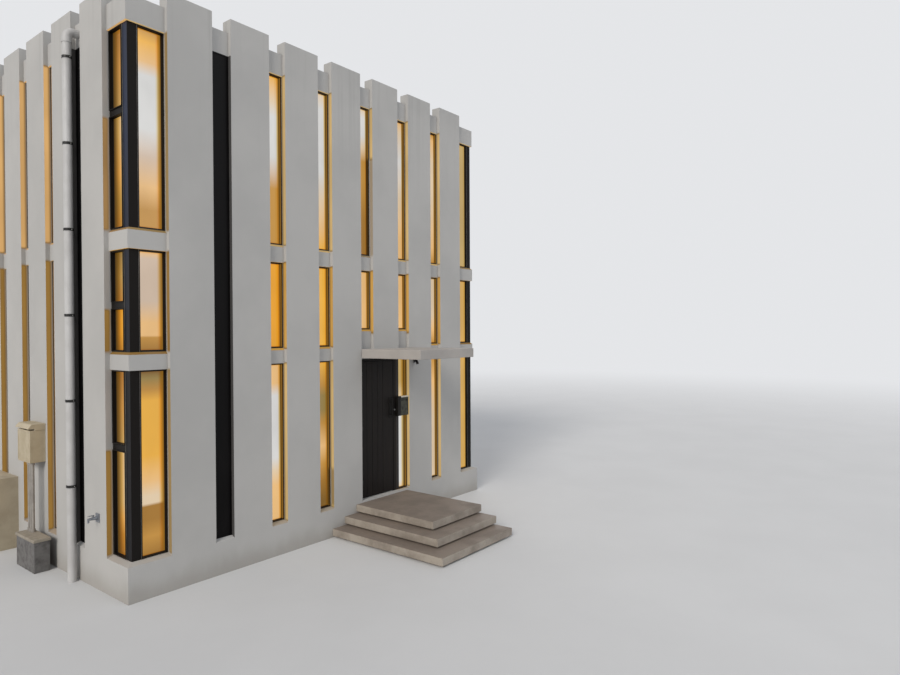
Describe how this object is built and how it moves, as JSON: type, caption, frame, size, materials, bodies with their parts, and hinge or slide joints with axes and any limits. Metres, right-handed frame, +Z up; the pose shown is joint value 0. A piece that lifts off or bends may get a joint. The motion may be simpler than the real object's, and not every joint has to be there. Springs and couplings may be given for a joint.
{
  "type": "modern concrete house",
  "caption": "Box-shaped modern concrete house with projecting piers, narrow window strips, wrap-around corner windows, an entrance with a flat canopy and floating steps.",
  "frame": {"origin": "centre of the house's square footprint, on the ground, at the foundation's underside", "axes": "+Z up, the entrance front faces -Y, +X to the right seen from the entrance side"},
  "size_m": [7.52, 9.455, 7.6],
  "materials": {
    "wall": "matt pale grey painted concrete",
    "frame": "dark bronze",
    "pane": "warm translucent glazing lit from inside",
    "dark_panel": "near-black brown",
    "metal": "satin",
    "pipe": "pale grey",
    "case": "beige"
  },
  "bodies": {
    "house": {"foundation": "wall", "ground_floor": "wall", "middle_floor": "wall", "upper_floor": "wall", "roof_slab": "wall", "front_plinth": "wall", "back_plinth": "wall", "left_plinth": "wall", "right_plinth": "wall", "front_piers_left": "wall", "front_pier_over_door": "wall", "front_piers_right": "wall", "left_piers": "wall", "right_piers": "wall", "back_piers": "wall", "front_spandrels": "wall", "left_spandrels": "wall", "right_spandrels": "wall", "back_spandrels": "wall", "corner_blocks": "wall", "canopy": "wall", "step_lower": "wall", "step_middle": "wall", "step_upper": "wall", "corner_posts": "frame", "front_frames": "frame", "left_frames": "frame", "right_frames": "frame", "back_frames": "frame", "door_frame": "frame", "front_glass": "pane", "left_glass": "pane", "right_glass": "pane", "back_glass": "pane", "slit_panels": "dark_panel", "frame_hinges": "metal", "mailbox": "metal", "meter_conduits": "metal", "canopy_lamp": "metal", "downpipe": "pipe", "pipe_brackets": "pipe", "wall_outlet": "pipe", "meter_box": "case", "service_unit": "case", "outdoor_unit": "case"},
    "door": {"door_leaf": "dark_panel", "leaf_hinges": "metal", "door_handle": "metal"}
  },
  "joints": [
    {"name": "door_hinge", "type": "hinge", "parent": "house", "child": "door", "pos_m": [0.364, -3.538, 1.6], "axis": [0, 0, -1], "range_deg": [0, 90]}
  ]
}
